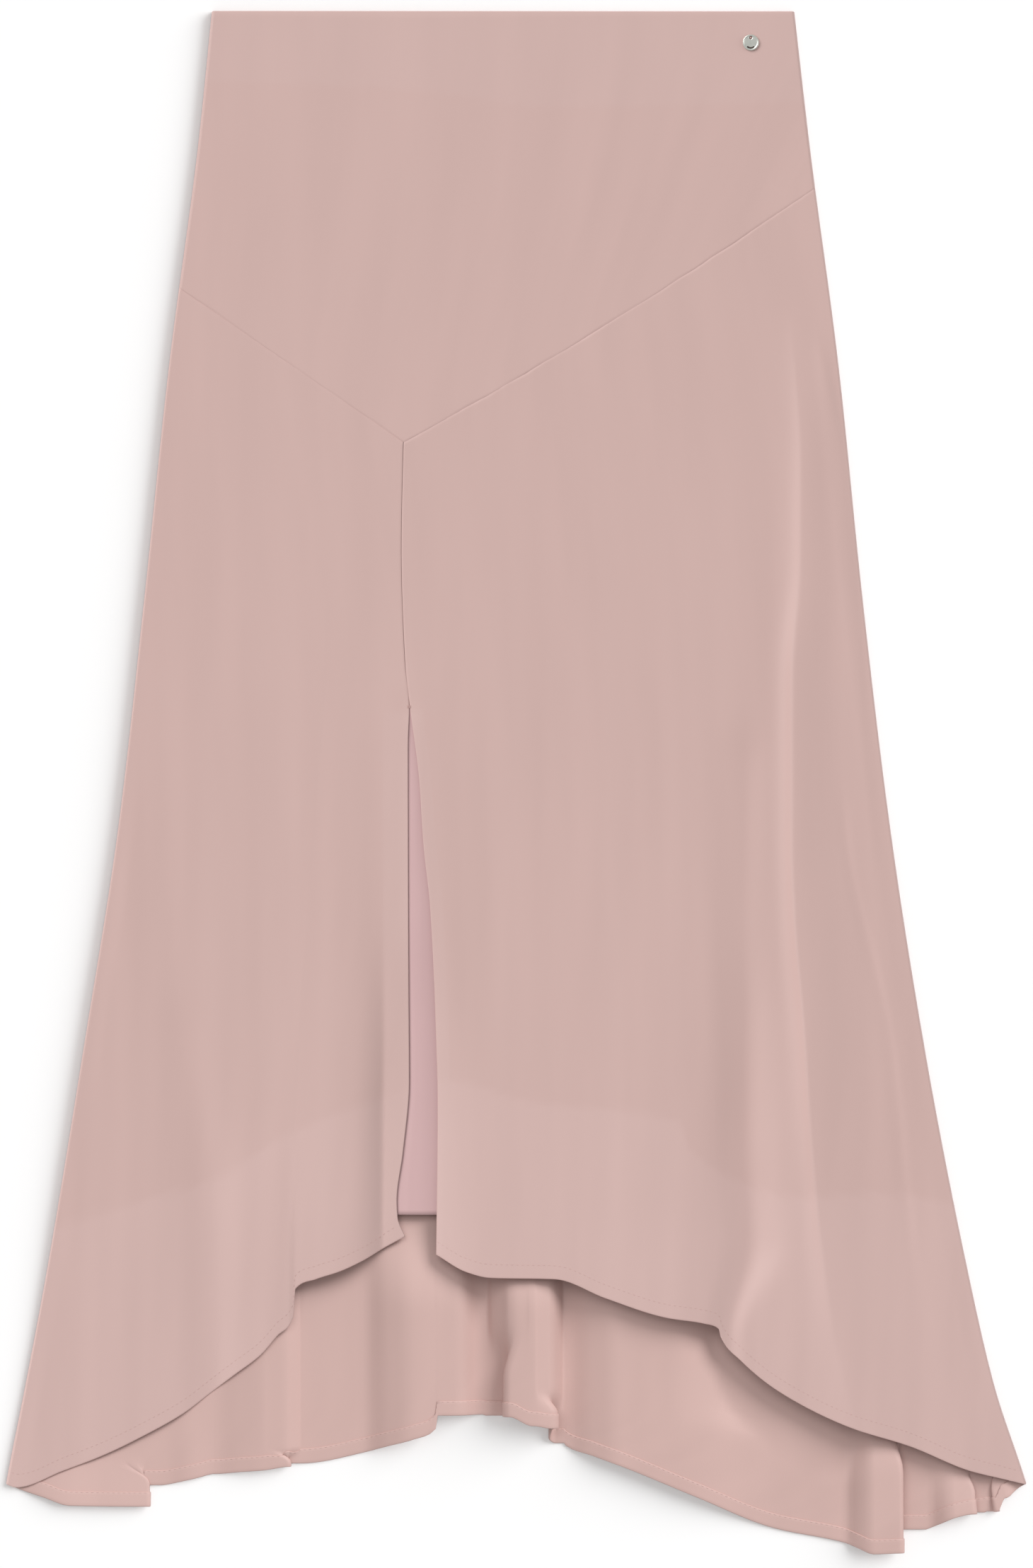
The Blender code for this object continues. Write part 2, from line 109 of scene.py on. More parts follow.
# The slanting seam under the yoke: down to its point, then up to the right
SeamEnd = namedtuple("SeamEnd", "x drop")
YOKE_LEFT = SeamEnd(-196.7, 162.7)
YOKE_POINT = SeamEnd(-66.1, 252.5)
YOKE_RIGHT = SeamEnd(174.3, 103.8)
YOKE_BOW = 4.5
SEAM_SLANT_LEFT = 0.824  # cosine of the seam's slant to the left of its point
SEAM_SLANT_RIGHT = 0.85  # and to the right

# Edges of the two lower front panels along the centre seam and the slit below it
Edge = namedtuple("Edge", "drop x")
SLIT_TOP = 408.0
SLIT_TOP_X = -62.9
LEFT_FRONT_EDGE = (
    Edge(240, -66.1),
    Edge(315, -67.6),
    Edge(380, -65.5),
    Edge(SLIT_TOP, SLIT_TOP_X),
    Edge(430, -63.6),
    Edge(574, -63.2),
    Edge(627, -62.9),
    Edge(668, -66.5),
    Edge(697, -70.2),
    Edge(707, -69.6),
    Edge(718, -65.2),
)
RIGHT_FRONT_EDGE = (
    Edge(240, -65.8),
    Edge(315, -67.3),
    Edge(380, -65.2),
    Edge(SLIT_TOP, -62.3),
    Edge(450, -57.0),
    Edge(489, -54.4),
    Edge(524, -50.6),
    Edge(602, -47.0),
    Edge(640, -46.1),
    Edge(728, -46.9),
)

# Hem of the left front, from the side seam to the slit: the stretch before its fold and the one after
Hem = namedtuple("Hem", "x drop")
LEFT_HEM_OUTER = (
    Hem(-299.2, 863.0),
    Hem(-293.0, 864.9),
    Hem(-266.4, 855.3),
    Hem(-243.6, 846.6),
    Hem(-216.2, 833.3),
    Hem(-195.1, 821.3),
)
LEFT_HEM_INNER = (
    Hem(-129.8, 748.5),
    Hem(-117.4, 742.4),
    Hem(-103.8, 737.9),
    Hem(-90.1, 731.6),
    Hem(-75.9, 723.3),
    Hem(-65.2, 717.5),
)
RIGHT_HEM = (
    Hem(-46.9, 727.9),
    Hem(-29.1, 737.9),
    Hem(-15.4, 741.2),
    Hem(22.4, 742.0),
    Hem(52.3, 753.2),
    Hem(87.2, 764.4),
    Hem(110.4, 768.2),
    Hem(118.7, 771.5),
    Hem(119.8, 776.1),
    Hem(131.6, 790.2),
    Hem(153.6, 808.0),
    Hem(193.4, 828.3),
    Hem(229.9, 840.0),
    Hem(266.4, 854.9),
    Hem(284.7, 859.5),
    Hem(298.8, 863.0),
)

# Folds that stand up at a hem, from the left: each rises from its foot to its crest, and falls from
# there by way of its shoulder, a share of its height, to its rest. lap and tuck are how far the cloth
# is turned under at its foot and at its edge. Drops: four of the hem, where the fold starts to rise,
# and where its edges start to turn under.
Fold = namedtuple(
    "Fold",
    "foot crest edge rest height shoulder lap tuck "
    "hem_foot hem_crest hem_edge hem_under start turn",
)
LEFT_FRONT_FOLD = Fold(
    -179.7, -150.0, -131.0, -131.0, 1.2, 0.6, 0, 0, 809.7, 787.0, 765.0, 765.0, 640, 760
)
BACK_FOLDS = (
    Fold(-290.0, -262.0, -215.2, -208.0, 4.8, 0.8, 0, 4.0, 866.5, 875.5, 876.0, 863.6, 836, 842),
    Fold(-203.0, -190.0, -178.0, -178.0, 1.2, 0.5, 0, 0, 862.9, 860.0, 857.0, 857.0, 800, 845),
    Fold(-177.0, -148.0, -132.8, -126.0, 4.2, 0.9, 0, 2.5, 857.0, 854.6, 852.6, 850.8, 720, 842),
    Fold(-90.0, -60.0, -47.5, -20.0, 10.5, 0.8, 0, 0, 844.5, 836.0, 830.0, 822.2, 700, 814),
    Fold(-7.5, 10.0, 24.0, 28.0, 14.5, 0.8, 4.0, 5.0, 822.8, 828.0, 829.5, 839.0, 700, 768),
    Fold(29.0, 60.0, 150.0, 150.0, 8.0, 0.85, 0, 0, 840.5, 851.5, 888.5, 888.5, 700, 840),
    Fold(193.0, 209.0, 226.5, 240.0, 8.0, 0.8, 0, 5.0, 897.5, 903.5, 903.0, 889.6, 798, 822),
    Fold(243.0, 256.0, 268.5, 273.0, 7.0, 0.8, 0, 3.0, 888.5, 882.5, 880.3, 879.6, 830, 850),
)
BACK_CORNER = Fold(
    278.0, 286.0, 294.5, 294.5, 5.0, 0.5, 3.5, 0, 879.0, 871.0, 865.0, 865.0, 838, 850
)

# A turned edge, from the top of the fold to where the cloth comes out under it
Turn = namedtuple("Turn", "brow side over under inner out")
TURN = Turn(0.95, 0.73, 0.51, 0.45, 0.23, 0.01)
EDGE_ROUND = 0.26

# Soft folds of the front: a ridge or trough down its own path. A lower peak is a sharper flank.
SoftFold = namedtuple("SoftFold", "left_peak right_peak places")
Place = namedtuple("Place", "drop x height left right")
SOFT_FOLDS = (
    # long ridge down the right side, with a sharp left flank at its crest
    SoftFold(
        1.15,
        2.0,
        (
            Place(160, 158.0, 0.0, 6, 14),
            Place(200, 162.5, 1.0, 5, 14),
            Place(263, 166.4, 2.8, 5, 13),
            Place(325, 166.0, 3.6, 5, 15),
            Place(387, 161.4, 5.2, 5, 18),
            Place(491, 161.2, 6.0, 5.5, 22),
            Place(532, 162.8, 6.4, 5.5, 24),
            Place(595, 168.2, 6.6, 5.5, 26),
            Place(657, 172.2, 6.2, 6, 27),
            Place(720, 178.0, 5.2, 7, 28),
            Place(790, 189.0, 3.2, 11, 28),
            Place(850, 207.0, 2.0, 14, 30),
        ),
    ),
    # second ridge beside it in the upper part
    SoftFold(
        1.2,
        2.0,
        (
            Place(180, 174.0, 0.0, 5, 8),
            Place(200, 178.0, 1.6, 6, 8),
            Place(263, 192.0, 3.0, 6, 8),
            Place(325, 198.0, 2.6, 8, 9),
            Place(420, 203.0, 1.0, 9, 10),
            Place(560, 214.0, 0.6, 10, 12),
            Place(720, 236.0, 0.8, 14, 16),
            Place(860, 266.0, 0.4, 16, 16),
        ),
    ),
    # valley at the right of the middle, down to the kink in the hem
    SoftFold(
        2.0,
        2.0,
        (
            Place(400, 134.0, 0.0, 16, 12),
            Place(450, 133.0, -1.6, 17, 10),
            Place(532, 132.0, -1.8, 17, 9),
            Place(595, 133.0, -4.6, 17, 12),
            Place(657, 133.0, -7.0, 18, 14),
            Place(720, 135.0, -7.0, 22, 14),
            Place(776, 124.0, -4.0, 18, 7),
            Place(800, 124.0, -4.0, 18, 7),
        ),
    ),
    # cloth falling away at the right of the slit
    SoftFold(
        2.0,
        2.0,
        (
            Place(360, -58.0, 0.0, 9, 22),
            Place(450, -54.0, 0.9, 9, 26),
            Place(595, -44.0, 1.5, 9, 32),
            Place(720, -42.0, 2.0, 9, 30),
        ),
    ),
    # cloth sinking towards the slit from the left
    SoftFold(
        1.3,
        3.0,
        (
            Place(400, -76.0, 0.0, 20, 16),
            Place(491, -77.0, -1.8, 20, 18),
            Place(532, -77.5, -3.0, 17, 20),
            Place(595, -77.5, -6.6, 9.5, 36),
            Place(657, -78.5, -8.8, 9.0, 42),
            Place(720, -78.5, -8.6, 10.0, 42),
        ),
    ),
    # hollow on the left, down to the lapped fold
    SoftFold(
        2.0,
        2.0,
        (
            Place(560, -196.0, 0.0, 14, 12),
            Place(600, -193.0, -0.8, 14, 12),
            Place(657, -183.0, -1.6, 14, 12),
            Place(720, -178.0, -2.4, 14, 12),
            Place(830, -176.0, -2.4, 12, 10),
        ),
    ),
    # line where the left side laps over, up from the corner in the hem
    SoftFold(
        2.0,
        2.0,
        (
            Place(680, -130.0, 0.0, 1.2, 6),
            Place(730, -130.2, -0.5, 1.2, 6),
            Place(770, -130.8, -0.9, 1.2, 6),
        ),
    ),
    # fine grooves of the right side
    SoftFold(
        2.0,
        2.0,
        (
            Place(440, 190.0, 0.0, 4, 3),
            Place(477, 192.1, -0.5, 4, 3),
            Place(604, 218.7, -0.7, 5, 3),
            Place(698, 228.3, -0.6, 5, 4),
            Place(760, 234.0, 0.0, 5, 4),
        ),
    ),
)
# Valley of the back below the right front's hem
BACK_VALLEY = SoftFold(
    2.0,
    2.0,
    (
        Place(740, 108.0, 0.0, 14, 24),
        Place(781, 120.0, -7.0, 16, 26),
        Place(806, 134.0, -5.5, 26, 26),
        Place(823, 166.0, -8.0, 36, 20),
        Place(840, 196.0, -4.0, 30, 12),
        Place(860, 196.0, 0.0, 14, 8),
    ),
)
VALLEY = 2  # the soft fold along which the cloth steps down to the right
STEP = 0.55  # share of the middle's height that is lost there
STEP_WIDTH = 34.0

# Slow waves of the laid cloth
Wave = namedtuple("Wave", "height length phase sway")
FRONT_WAVES = (
    Wave(0.42, 61.0, 0.4, 210.0),
    Wave(0.20, 33.0, 2.1, 150.0),
    Wave(0.10, 17.0, 4.4, 90.0),
)
BACK_WAVES = (
    Wave(0.30, 47.0, 1.1, 160.0),
    Wave(0.12, 21.0, 3.0, 70.0),
)
WAVE_START = 120.0
WAVE_FULL = 520.0

# Sewing
SEAM_DIP = 0.28  # depth of the groove along a seam
SEAM_DIP_WIDTH = 0.55
SEAM_WOBBLE = 0.25  # how far a seam strays from its line
PUCKER = 0.05  # height of the small puckers along a seam
PUCKER_LENGTH = 8.5
PUCKER_REACH = 5.0
TACK_REACH = 7.0  # pucker round the bar tack at the top of the slit
TACK_DIP = 0.5
HEM_TURN = 8.0
FACING_DEPTH = 40.0
STITCH_PITCH = 3.1
STITCH_LENGTH = 2.0
STITCH_RADIUS = 0.13
STITCH_SINK = 0.02
# Along a stitch: a share of its length, and its width and rise there, shares of its radius
STITCH_PROFILE = (
    (0.0, 0.0, -1.2),
    (0.18, 0.9, 0.0),
    (0.5, 1.0, 0.25),
    (0.82, 0.9, 0.0),
    (1.0, 0.0, -1.2),
)
THREAD_SIDES = 6
TACK_HALF = 1.3
TACK_PITCH = 0.28
TACK_ROWS = 6
TACK_POINTS = 8
FACING_START = 4.0  # length over which a facing starts at the slit's top
FACING_FADE = 1.5  # width over which its inner side fades
SLIT_FACING_LEFT = 14.0
SLIT_FACING_RIGHT = 6.5

# Lining
LINING_TOP = 398.0
LINING_HEM = 705.0
LINING_MARGIN = 14.0
LINING_DEPTH = 1.0
LINING_RISE = 0.3  # share of the right front's extra height that the lining follows
LINING_WALL = 0.4

# Where the hidden lining ends, as it shows through the front
LINING_SHADE = (
    Hem(-290.0, 716.0),
    Hem(-212.0, 692.0),
    Hem(-182.0, 684.0),
    Hem(-131.0, 654.0),
    Hem(-89.0, 638.0),
    Hem(-40.0, 624.0),
    Hem(8.3, 636.0),
    Hem(95.0, 648.0),
    Hem(102.0, 665.0),
    Hem(170.0, 692.0),
    Hem(206.0, 690.0),
    Hem(290.0, 700.0),
)
LINING_SHADE_SOFT = 5.0
# Lower edge of the waist facing, as it shows through the yoke
FACING_SHADE = (
    Hem(-185.0, 38.6),
    Hem(-60.0, 44.0),
    Hem(20.0, 54.0),
    Hem(172.0, 50.6),
)
FACING_SHADE_SOFT = 4.0

# The metal plate: a dished disc with a hole at its top and an arc-shaped slot along its foot
PLAQUE_X = 137.3
PLAQUE_DROP = 18.2
PLAQUE_RADIUS = 4.7
PLAQUE_THICKNESS = 1.2
PLAQUE_DISH = 0.16
PLAQUE_RIM = 0.85
PLAQUE_ROUND = 0.3
PLAQUE_HOLE_RADIUS = 0.95
PLAQUE_HOLE_OUT = 2.9
PLAQUE_SLOT_OUT = 3.15
PLAQUE_SLOT_HALF = 0.36
PLAQUE_SLOT_ANGLE = 0.62
PLAQUE_SLOT_DEPTH = 0.75
PLAQUE_SIDES = 160
KNOT_RADIUS = 0.5
KNOT_SIDES = 24

# Spacing of points
HEM_SPACING = 1.4
BACK_SPACING = 3.2
FINE_SPACING = 0.9  # where an edge is turned under
LINING_ROWS = 110
LINING_COLUMNS = 50
SIDE_STEPS = (0.3, 0.8, 1.6, 2.8, 4.4, 6.4)  # extra columns this far in from the side seams
SEAM_STEPS = (0.5, 1.2, 2.2, 3.6)  # and this far in from the centre seam and slit
FRONT_ROWS = 120
YOKE_ROWS = 60
YOKE_COLUMNS = 150
BACK_ROWS = 88
BACK_CROWDING = 1.6
FRONT_CROWDING = 1.15
FROM_SEAM = (0.0, 0.2, 0.45, 0.8, 1.3, 2.2, 3.8, 6.2, 9.5)
FROM_HEM = (9.5, 7.5, 5.5, 3.6, 2.0, 1.0, 0.3)

# Lamps: the direction towards each, its strength and spread, and what it lights
Lamp = namedtuple("Lamp", "name towards energy spread lights")
LAMPS = (
    Lamp("key_left", (-0.62, 0.45, 0.65), 2.5, 40, "front"),
    Lamp("rim_right", (0.95, 0.05, 0.3), 0.9, 40, "front"),
    Lamp("key_right", (0.5, 0.6, 0.5), 2.2, 30, "back"),
    Lamp("fill_left", (-0.3, 0.5, 0.9), 0.75, 40, "back"),
    Lamp("floor_right", (0.9, 0.4, 0.5), 3.0, 50, "floor"),
    Lamp("floor_above", (0.0, 0.0, 1.0), 0.6, 10, "floor"),
)

# Stage, in metres
FLOOR_SIZE = 8.0
FLOOR_Z = -0.0002
SKY_STRENGTH = 0.47
# Camera: the picture is this high, and its middle is this far below the skirt's own
PICTURE_HEIGHT = 919.6
PICTURE_LOW = 0.2
CAMERA_HEIGHT = 5000.0
SENSOR = 36.0


# Curves
def smooth(t):
    """0 below 0, 1 above 1, and an S curve between them."""
    t = np.clip(t, 0.0, 1.0)
    return t * t * (3.0 - 2.0 * t)


def mix(a, b, share):
    return a + (b - a) * share


def curve(knots, values, at):
    """A smooth curve through the values at the knots that never swings past them."""
    knots, values = np.asarray(knots, float), np.asarray(values, float)
    step = np.diff(knots)
    slope = np.diff(values) / step
    tangent = np.zeros_like(values)
    tangent[0], tangent[-1] = slope[0], slope[-1]
    before, after = slope[:-1], slope[1:]
    weight_before = 2 * step[1:] + step[:-1]
    weight_after = step[1:] + 2 * step[:-1]
    same_way = before * after > 0
    safe_before = np.where(same_way, before, 1.0)
    safe_after = np.where(same_way, after, 1.0)
    mean = (weight_before + weight_after) / (weight_before / safe_before + weight_after / safe_after)
    tangent[1:-1] = np.where(same_way, mean, 0.0)
    at = np.clip(at, knots[0], knots[-1])
    i = np.clip(np.searchsorted(knots, at, side="right") - 1, 0, len(step) - 1)
    t = (at - knots[i]) / step[i]
    rest = 1.0 - t
    return (
        values[i] * (1 + 2 * t) * rest**2
        + tangent[i] * step[i] * t * rest**2
        + values[i + 1] * t**2 * (3 - 2 * t)
        - tangent[i + 1] * step[i] * t**2 * rest
    )


def column(rows, name):
    return [getattr(row, name) for row in rows]


def read(rows, name, drop):
    """A named column of a table at this drop."""
    return curve(column(rows, "drop"), column(rows, name), drop)


def across(rows, x):
    """The drop that a table of places gives at x."""
    return curve(column(rows, "x"), column(rows, "drop"), x)


def left_side(drop):
    return read(OUTLINE, "left", drop)


def right_side(drop):
    return read(OUTLINE, "right", drop)


def yoke_seam(x):
    """Drop of the seam under the yoke."""
    left = (x - YOKE_LEFT.x) / (YOKE_POINT.x - YOKE_LEFT.x)
    right = (x - YOKE_POINT.x) / (YOKE_RIGHT.x - YOKE_POINT.x)
    bow = YOKE_BOW * 4 * np.clip(right, 0, 1) * (1 - np.clip(right, 0, 1))
    down = mix(YOKE_LEFT.drop, YOKE_POINT.drop, left)
    up = mix(YOKE_POINT.drop, YOKE_RIGHT.drop, right) + bow
    return np.where(x < YOKE_POINT.x, down, up)


# Height of the cloth over the surface
def soft_fold(fold, x, drop):
    """A ridge or trough down its path, with its own width on each side."""
    places = fold.places
    aside = x - read(places, "x", drop)
    width = np.where(aside < 0, read(places, "left", drop), read(places, "right", drop))
    peak = np.where(aside < 0, fold.left_peak, fold.right_peak)
    starts = smooth((drop - places[0].drop) / SOFT_START)
    return starts * read(places, "height", drop) * np.exp(-(np.abs(aside / width) ** peak))


def waves(rows, x, drop):
    """Slow waves of the laid cloth that sway as they run down, between 0 and their heights."""
    total = 0.0
    for wave in rows:
        sway = 0.9 * np.sin(drop / wave.sway + wave.phase)
        beat = np.sin(2 * np.pi * x / wave.length + wave.phase + sway)
        total = total + wave.height * (0.5 + 0.5 * beat)
    return total * smooth((drop - WAVE_START) / (WAVE_FULL - WAVE_START))


def pucker(along, away):
    """Small puckers beside a seam: along it and away from it."""
    beat = np.sin(2 * np.pi * along / PUCKER_LENGTH + 1.7 * np.sin(along / 23.0))
    swell = 0.6 + 0.4 * np.sin(along / 31.0 + 2.0)
    return PUCKER * beat * swell * np.exp(-away / PUCKER_REACH)


def seams(x, drop):
    """Height that the yoke seam and the centre seam take from the front or give to it."""
    stray = SEAM_WOBBLE * np.sin(x / 5.1 + 2 * np.sin(x / 17.0))
    slant = np.where(x < YOKE_POINT.x, SEAM_SLANT_LEFT, SEAM_SLANT_RIGHT)
    away = np.abs(drop - yoke_seam(x) - stray) * slant
    depth = SEAM_DIP * (0.75 + 0.25 * np.sin(x / 9.0 + 3 * np.sin(x / 41.0)))
    dip = -depth * np.exp(-((away / SEAM_DIP_WIDTH) ** 2)) + pucker(x, away)
    centre = np.abs(x - read(LEFT_FRONT_EDGE, "x", drop))
    sewn = smooth((drop - yoke_seam(x)) / 4) * (1 - smooth((drop - SLIT_TOP + 3) / 6))
    dip = dip + sewn * (-SEAM_DIP * np.exp(-((centre / SEAM_DIP_WIDTH) ** 2)) + pucker(drop, centre))
    from_tack = np.hypot(x - SLIT_TOP_X, (drop - SLIT_TOP) * 0.8)
    return dip - TACK_DIP * np.exp(-((from_tack / TACK_REACH) ** 2))


def rolled(inside, width):
    """The quarter round of a rolled side, 0 at its edge and 1 inside it."""
    return np.sqrt(1 - (1 - np.clip(inside / width, 0, 1)) ** 2)


def front_form(x, drop):
    """Middle of the front's cloth without its sewing."""
    from_left = np.maximum(x - left_side(drop), 0.0)
    from_right = np.maximum(right_side(drop) - x, 0.0)
    inside = smooth(from_left / SIDE_ROLL) * smooth(from_right / SIDE_ROLL)
    start = mix(BACK_HEIGHT, SEAM_HEIGHT, inside)
    side = mix(
        read(FULLNESS, "left", drop),
        read(FULLNESS, "right", drop),
        smooth(from_left / (from_left + from_right + 0.01)),
    )
    height = start + side * rolled(from_left, SIDE_ROLL) * rolled(from_right, SIDE_ROLL)
    valley = SOFT_FOLDS[VALLEY].places
    stepped = smooth((x - read(valley, "x", drop)) / STEP_WIDTH + 0.5)
    rises = read(CROWN, "full", drop) - read(CROWN, "left", drop)
    crown = smooth((x - read(CROWN, "left", drop)) / rises) * (1 - STEP * stepped)
    crown = crown * smooth(from_right / CROWN_EASE)
    height = height + read(FULLNESS, "middle", drop) * crown
    clear_of_side = smooth(from_left / SIDE_CLEAR) * smooth(from_right / SIDE_CLEAR)
    for fold in SOFT_FOLDS:
        height = height + clear_of_side * soft_fold(fold, x, drop)
    return height + clear_of_side * waves(FRONT_WAVES, x, drop)


def front_height(x, drop):
    return front_form(x, drop) + seams(x, drop)


def back_height(x, drop):
    return BACK_HEIGHT + waves(BACK_WAVES, x, drop) + soft_fold(BACK_VALLEY, x, drop)


# Hem sections: what the cloth does at each place along a hem. At the hem it is at x and lifted by
# lift. Higher up, above its turn, it is at flat and lifted by soft.
Post = namedtuple("Post", "x flat lift soft drop start turn")


def turned_edge(edge, inward, fold, hem_here, hem_hidden):
    """Places of an edge turned under, from the top of the fold to the layer below: x, lift and drop."""
    round_in = np.sign(inward) * EDGE_ROUND * fold.height
    places = [(edge + round_in, TURN.brow, hem_here), (edge, TURN.side, hem_here)]
    if abs(inward) > 2.2 * abs(round_in):
        places.append((edge + round_in, TURN.over, hem_here))
        places.append((edge + inward - round_in, TURN.under, mix(hem_here, hem_hidden, 0.5)))
    else:
        places.append((edge + inward / 2, mix(TURN.over, TURN.under, 0.5), hem_here))
    places.append((edge + inward, TURN.inner, mix(hem_here, hem_hidden, 0.7)))
    places.append((edge + inward - round_in, TURN.out, hem_hidden))
    return [(x, share * fold.height, drop) for x, share, drop in places]


def edge_posts(fold, turn, places, left, right, profile):
    """Posts through the places of a turned edge. Above its turn they lie between left and right."""
    share = np.linspace(0, 1, len(places) + 2)[1:-1]
    above = zip(mix(left, right, share), np.interp(share, *profile) * fold.height)
    return [
        Post(x, flat, lift, soft, drop, fold.start, turn)
        for (x, lift, drop), (flat, soft) in zip(places, above)
    ]


def fold_posts(fold):
    """Posts of one fold from foot to rest, turned under where it has a lap or a tuck."""
    posts = []
    tuck_turn = fold.turn + (TUCK_LATER if fold.lap else 0)

    def post(x, share, drop, turn=fold.turn):
        posts.append(Post(x, x, share * fold.height, share * fold.height, drop, fold.start, turn))

    if fold.lap:
        flank = fold.foot - LAP_FLANK * fold.height
        post(flank, 0.0, fold.hem_foot)
        places = turned_edge(fold.foot, fold.lap, fold, fold.hem_foot, fold.hem_foot)[::-1]
        posts += edge_posts(fold, fold.turn, places, flank, fold.crest, LAP_RISE)
        post(fold.crest - 0.5, 1.0, fold.hem_crest)
    else:
        post(fold.foot, 0.0, fold.hem_foot)
        post(mix(fold.foot, fold.crest, 0.5), 0.6, mix(fold.hem_foot, fold.hem_crest, 0.5))
    post(fold.crest, 1.0, fold.hem_crest, tuck_turn)
    if fold.tuck:
        places = turned_edge(fold.edge, -fold.tuck, fold, fold.hem_edge, fold.hem_under)
        falls = ((0, TUCK_SHOULDER, 1), (1, fold.shoulder, 0))
        posts += edge_posts(fold, tuck_turn, places, fold.crest, fold.rest, falls)
        post(fold.rest, 0.0, fold.hem_under, tuck_turn)
    elif fold.rest > fold.edge:
        post(fold.edge, mix(1.0, fold.shoulder, 0.5), fold.hem_edge)
        post(fold.edge + OPEN_EDGE, mix(1.0, fold.shoulder, 0.55), fold.hem_under)
        post(mix(fold.edge, fold.rest, 0.5), fold.shoulder, fold.hem_under)
        post(fold.rest, 0.0, fold.hem_under)
    else:
        post(mix(fold.crest, fold.rest, 0.5), fold.shoulder, mix(fold.hem_crest, fold.hem_edge, 0.5))
        post(fold.rest, 0.0, fold.hem_edge)
    return posts


def flat_posts(hem, start=0.0):
    """Posts of a stretch of hem without a fold. Its start only tells beside a fold."""
    return [Post(place.x, place.x, 0.0, 0.0, place.drop, start, start) for place in hem]


def section(posts, spacing, left_steps, right_steps):
    """Columns along the posts: closer together where the cloth turns, so that a fold stays round."""
    table = {name: np.array([getattr(post, name) for post in posts], float) for name in Post._fields}
    steps = np.hypot(np.diff(table["x"]), np.diff(table["lift"]))
    run = np.concatenate([[0.0], np.cumsum(steps)])
    plain = np.abs(table["x"] - table["flat"]) <= 0.01
    at = [0.0]
    for i, length in enumerate(steps):
        here = FINE_SPACING if not (plain[i] and plain[i + 1]) else spacing
        count = max(1, round(length / here))
        at.extend(run[i] + length * (k + 1) / count for k in range(count))
    at.extend(left_steps)
    at.extend(run[-1] - step for step in right_steps)
    at = np.array(sorted(at))
    return Post(*(curve(run, table[name], at) for name in Post._fields)), at


def edge_drops(edge, left, right, share):
    """Drops of a slanting edge at shares of its width, found by turns, as the width varies with them."""
    drop = np.full_like(share, YOKE_POINT.drop)
    for _ in range(12):
        drop = edge(mix(left(drop), right(drop), share))
    return drop


def row_drops(top_drop, hem_drop, rows, crowding):
    """Drops of a panel's rows, close together at its upper edge and at its hem."""
    first = top_drop + np.array(FROM_SEAM)[:, None]
    last = hem_drop - np.array(FROM_HEM)[:, None]
    share = 1 - np.linspace(1, 0, rows)[1:-1, None] ** crowding
    return np.concatenate([first, mix(first[-1], last[0], share), last])


def panel(hem, run, left, right, top, height, rows, crowding):
    """Points of a panel as rows from its upper edge to its hem."""
    share = run / run[-1]
    top_drop = edge_drops(top, left, right, share)
    drop = row_drops(top_drop, hem.drop, rows, crowding)
    down = (drop - top_drop) / (hem.drop - top_drop)
    even = mix(left(drop), right(drop), share)
    hanging = hem.flat
    for side_shift, inside in (
        (left(drop) - hem.x[0], hem.flat - hem.x[0]),
        (right(drop) - hem.x[-1], hem.x[-1] - hem.flat),
    ):
        reach = SIDE_REACH + SIDE_EASE * np.abs(side_shift)
        hanging = hanging + side_shift * (1 - np.clip(inside / reach, 0, 1)) ** 2
    x = mix(even, hanging, smooth(down))
    turn_length = np.clip(TURN_SHARE * (hem.drop - hem.turn), *TURN_LENGTHS)
    turning = smooth((drop - hem.turn) / turn_length)
    x = x + (hem.x - hem.flat) * turning
    z = height(x, drop) + mix(hem.soft, hem.lift, turning) * smooth((drop - hem.start) / RISE)
    z = np.maximum(z, BACK_HEIGHT)
    return np.stack([x, LENGTH / 2 - drop, z], axis=-1)


def normals(points):
    """Outward directions of a panel's points: up where it lies flat."""
    along = np.gradient(points, axis=1)
    up = -np.gradient(points, axis=0)
    out = np.cross(along, up)
    return out / np.linalg.norm(out, axis=-1, keepdims=True)


def from_edge(points, distances, lift):
    """Points this far in from the last row, and lifted off the cloth. A row for each distance."""
    path = points[::-1]
    out = normals(points)[::-1]
    step = np.linalg.norm(np.diff(path, axis=0), axis=-1)
    found = np.empty((len(distances), points.shape[1], 3))
    for k in range(points.shape[1]):
        gone = np.concatenate([[0.0], np.cumsum(step[:, k])])
        for axis in range(3):
            place = np.interp(distances, gone, path[:, k, axis])
            found[:, k, axis] = place + lift * np.interp(distances, gone, out[:, k, axis])
    return found


def turned_in(points, width, inside):
    """The panel with its last row turned in: round the edge, then back along the cloth.

    inside is 1 where the cloth's inside is up and -1 where it is down.
    """
    out = normals(points)[-1]
    ahead = points[-1] - points[-2]
    ahead = ahead / np.linalg.norm(ahead, axis=-1, keepdims=True)
    radius = LAYER / 2
    centre = points[-1] + inside * radius * out
    rounds = [
        centre + radius * (np.sin(angle) * ahead - inside * np.cos(angle) * out)
        for angle in np.radians((30, 60, 90, 120, 150, 180))
    ]
    distances = np.append(np.linspace(width / 5, width * 0.96, 5), width)
    flat = from_edge(points, distances, inside * LAYER)
    flat[-1] = from_edge(points, [width], inside * (LAYER - 0.12))[0]
    return np.concatenate([points, rounds, flat])


